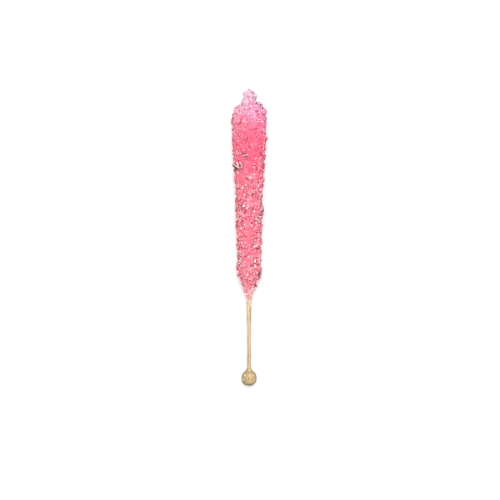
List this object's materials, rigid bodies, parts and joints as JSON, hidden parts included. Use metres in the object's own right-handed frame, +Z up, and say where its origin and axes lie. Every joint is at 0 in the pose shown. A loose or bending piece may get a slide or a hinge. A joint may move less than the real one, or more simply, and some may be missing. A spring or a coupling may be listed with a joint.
{
  "type": "rock candy stick",
  "caption": "Pink rock sugar grown round a thin wooden stick, with a clear crystal knob at the tip and a wooden ball at the foot, lying on its side.",
  "frame": {"origin": "bottom centre of the object's bounding box, on the surface it lies on", "axes": "+Z up, +Y along the stick from the wooden ball towards the sugar's tip, +X across it"},
  "size_m": [0.021, 0.165, 0.0195],
  "materials": {
    "sugar": "clear pink sugar crystals, glossy facets with a frosty glitter, paler towards the tip",
    "stick_wood": "pale birch with fine lengthwise grain, unvarnished",
    "ball_wood": "golden turned wood, thinly varnished"
  },
  "bodies": {
    "root": {"sugar": "sugar", "stick": "stick_wood", "ball": "ball_wood"}
  },
  "joints": []
}
